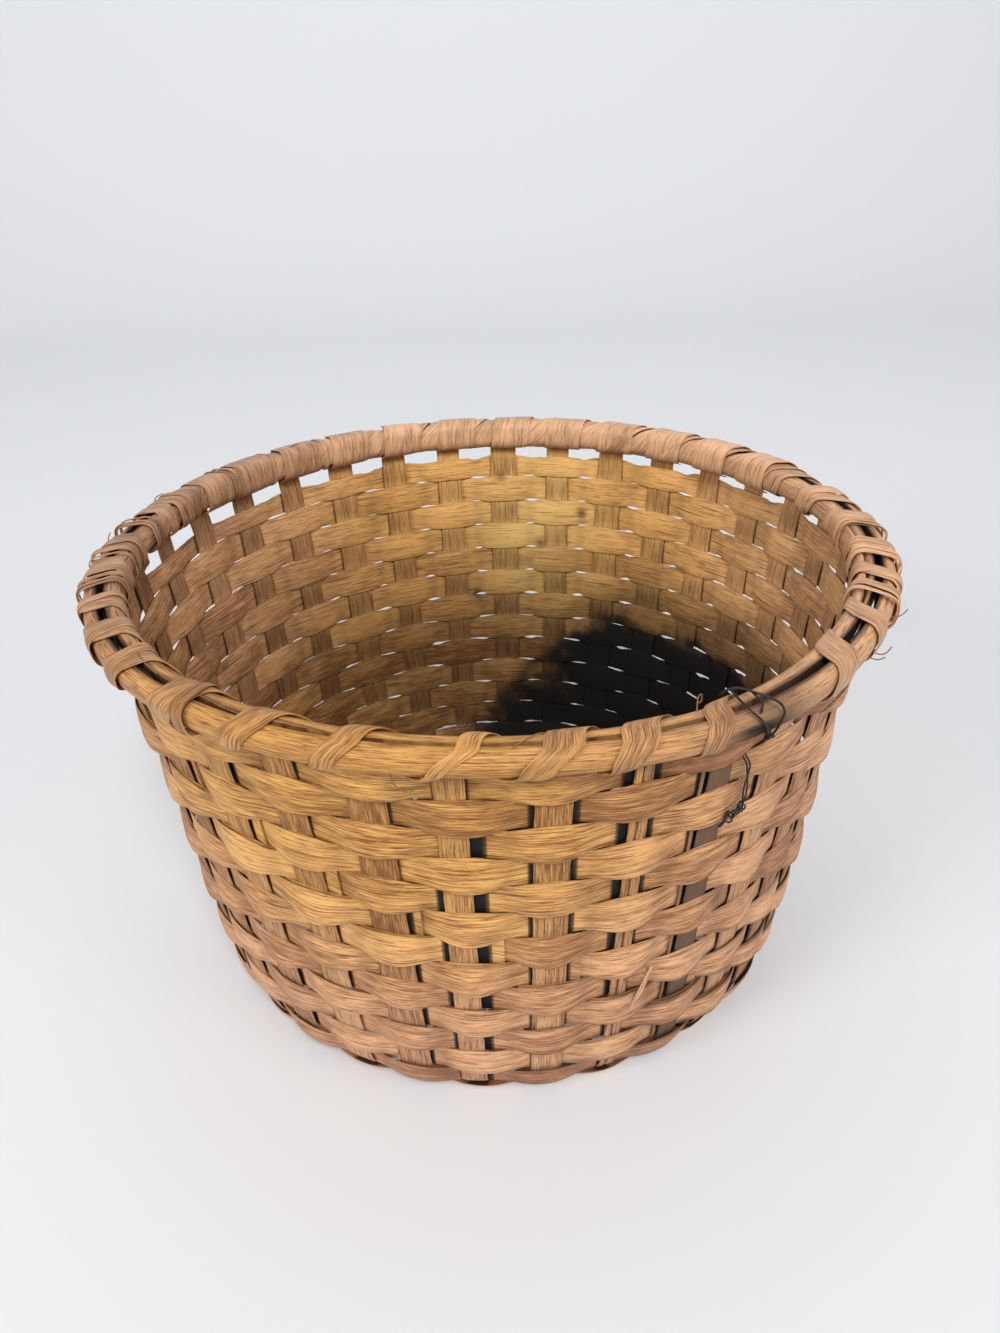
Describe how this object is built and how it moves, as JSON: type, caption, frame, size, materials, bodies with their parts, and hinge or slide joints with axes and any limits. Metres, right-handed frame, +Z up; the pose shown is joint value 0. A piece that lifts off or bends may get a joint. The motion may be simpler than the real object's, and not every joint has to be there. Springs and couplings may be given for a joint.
{
  "type": "splint basket",
  "caption": "Round open splint basket with a plaited base, a spirally woven wall flaring to the top, and a lashed double-hoop rim with wire repairs.",
  "frame": {"origin": "centre of the basket's base, at the level that it rests on", "axes": "+Z up along the basket's axis, -Y towards the side that faces the picture, +X to the right of it"},
  "size_m": [0.4076, 0.4072, 0.2396],
  "materials": {
    "stake_splint": "satin",
    "weaver_splint": "satin",
    "hoop_wood": "satin",
    "lashing_splint": "satin",
    "tie_wire": "satin"
  },
  "bodies": {
    "root": {"front_back_splint_1": "stake_splint", "front_back_splint_2": "stake_splint", "front_back_splint_3": "stake_splint", "front_back_splint_4": "stake_splint", "front_back_splint_5": "stake_splint", "front_back_splint_6": "stake_splint", "front_back_splint_7": "stake_splint", "front_back_splint_8": "stake_splint", "left_right_splint_1": "stake_splint", "left_right_splint_2": "stake_splint", "left_right_splint_3": "stake_splint", "left_right_splint_4": "stake_splint", "left_right_splint_5": "stake_splint", "left_right_splint_6": "stake_splint", "left_right_splint_7": "stake_splint", "left_right_splint_8": "stake_splint", "odd_stake": "stake_splint", "weaver_1": "weaver_splint", "weaver_2": "weaver_splint", "weaver_3": "weaver_splint", "weaver_4": "weaver_splint", "weaver_5": "weaver_splint", "weaver_6": "weaver_splint", "weaver_7": "weaver_splint", "weaver_8": "weaver_splint", "weaver_9": "weaver_splint", "weaver_10": "weaver_splint", "weaver_11": "weaver_splint", "weaver_12": "weaver_splint", "outer_rim_hoop": "hoop_wood", "inner_rim_hoop": "hoop_wood", "rim_lashing_1": "lashing_splint", "rim_lashing_2": "lashing_splint", "rim_wire": "tie_wire", "side_wire": "tie_wire"}
  },
  "joints": []
}
